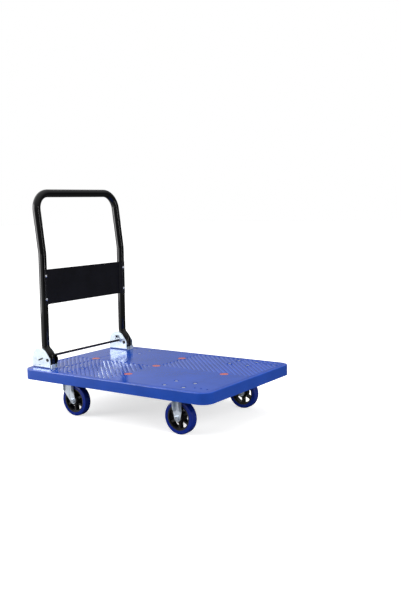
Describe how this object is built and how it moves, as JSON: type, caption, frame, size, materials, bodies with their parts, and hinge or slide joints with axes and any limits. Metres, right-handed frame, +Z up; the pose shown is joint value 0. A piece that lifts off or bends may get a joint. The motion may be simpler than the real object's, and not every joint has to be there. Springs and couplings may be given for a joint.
{
  "type": "platform trolley",
  "caption": "Platform trolley with a blue moulded load deck, a folding tubular push handle with a panel, fixed front casters and swivel casters at the handle end.",
  "frame": {"origin": "on the floor under the centre of the deck", "axes": "+X forward, away from the handle; +Y to the left; +Z up"},
  "size_m": [0.9, 0.6, 0.8975],
  "materials": {
    "deck_blue": "glossy moulded blue polypropylene",
    "plug_red": "glossy red plastic",
    "fastener_zinc": "bright zinc plated",
    "fork_zinc": "bright zinc plated pressed steel",
    "bracket_zinc": "bright zinc plated pressed steel",
    "steel_bare": "bare oiled steel",
    "handle_black": "gloss black powder coat",
    "panel_black": "satin black paint",
    "rivet_bright": "bright domed rivet",
    "cap_black": "black plastic",
    "rod_dark": "dark coated steel rod",
    "tread_blue": "glossy blue elastic tread",
    "hub_black": "black moulded plastic",
    "spring_black": "black oxide spring steel",
    "bearing_steel": "bearing steel"
  },
  "bodies": {
    "chassis": {"deck": "deck_blue", "deck_plugs": "plug_red", "caster_bolts": "fastener_zinc", "caster_washers": "fastener_zinc", "caster_nuts": "fastener_zinc", "bracket_left": "bracket_zinc", "bracket_right": "bracket_zinc", "bracket_bolts": "fastener_zinc", "bracket_nuts": "fastener_zinc", "pivot_pins": "spring_black", "pivot_rings": "spring_black", "ear_pads": "cap_black", "spring_pins": "fastener_zinc", "rod_spring_left": "spring_black", "rod_spring_right": "spring_black", "fixed_fork_left": "fork_zinc", "fixed_fork_right": "fork_zinc", "axle_bolts_front": "fastener_zinc", "axle_nuts_front": "fastener_zinc", "axle_sleeves_front": "steel_bare", "swivel_plate_left": "fork_zinc", "swivel_plate_right": "fork_zinc", "kingpins": "fastener_zinc", "kingpin_nuts": "fastener_zinc"},
    "handle": {"handle_tube": "handle_black", "tube_caps": "cap_black", "lock_plate_left": "handle_black", "lock_plate_right": "handle_black", "handle_panel": "panel_black", "panel_rivets": "rivet_bright"},
    "release_rod": {"release_rod": "rod_dark", "rod_collars": "fastener_zinc"},
    "swivel_left": {"swivel_fork_left": "fork_zinc", "ball_race_left": "steel_bare", "axle_bolt_rear_left": "fastener_zinc", "axle_nut_rear_left": "fastener_zinc", "axle_sleeve_rear_left": "steel_bare"},
    "swivel_right": {"swivel_fork_right": "fork_zinc", "ball_race_right": "steel_bare", "axle_bolt_rear_right": "fastener_zinc", "axle_nut_rear_right": "fastener_zinc", "axle_sleeve_rear_right": "steel_bare"},
    "wheel_front_left": {"tyre_front_left": "tread_blue", "wheel_centre_front_left": "hub_black", "wheel_bearings_front_left": "bearing_steel"},
    "wheel_front_right": {"tyre_front_right": "tread_blue", "wheel_centre_front_right": "hub_black", "wheel_bearings_front_right": "bearing_steel"},
    "wheel_rear_left": {"tyre_rear_left": "tread_blue", "wheel_centre_rear_left": "hub_black", "wheel_bearings_rear_left": "bearing_steel"},
    "wheel_rear_right": {"tyre_rear_right": "tread_blue", "wheel_centre_rear_right": "hub_black", "wheel_bearings_rear_right": "bearing_steel"}
  },
  "joints": [
    {"name": "handle_fold", "type": "hinge", "parent": "chassis", "child": "handle", "pos_m": [-0.35, 0, 0.218], "axis": [0, 1, 0], "range_deg": [0, 90]},
    {"name": "release_rod_lift", "type": "slide", "parent": "chassis", "child": "release_rod", "axis": [0, 0, 1], "range_m": [0, 0.006]},
    {"name": "swivel_left_turn", "type": "hinge", "parent": "chassis", "child": "swivel_left", "pos_m": [-0.277, 0.216, 0.141], "axis": [0, 0, 1], "continuous": true},
    {"name": "swivel_right_turn", "type": "hinge", "parent": "chassis", "child": "swivel_right", "pos_m": [-0.277, -0.216, 0.141], "axis": [0, 0, 1], "continuous": true},
    {"name": "wheel_front_left_spin", "type": "hinge", "parent": "chassis", "child": "wheel_front_left", "pos_m": [0.277, 0.216, 0.0625], "axis": [0, 1, 0], "continuous": true},
    {"name": "wheel_front_right_spin", "type": "hinge", "parent": "chassis", "child": "wheel_front_right", "pos_m": [0.277, -0.216, 0.0625], "axis": [0, 1, 0], "continuous": true},
    {"name": "wheel_rear_left_spin", "type": "hinge", "parent": "swivel_left", "child": "wheel_rear_left", "pos_m": [-0.237, 0.216, 0.0625], "axis": [0, 1, 0], "continuous": true},
    {"name": "wheel_rear_right_spin", "type": "hinge", "parent": "swivel_right", "child": "wheel_rear_right", "pos_m": [-0.237, -0.216, 0.0625], "axis": [0, 1, 0], "continuous": true}
  ]
}
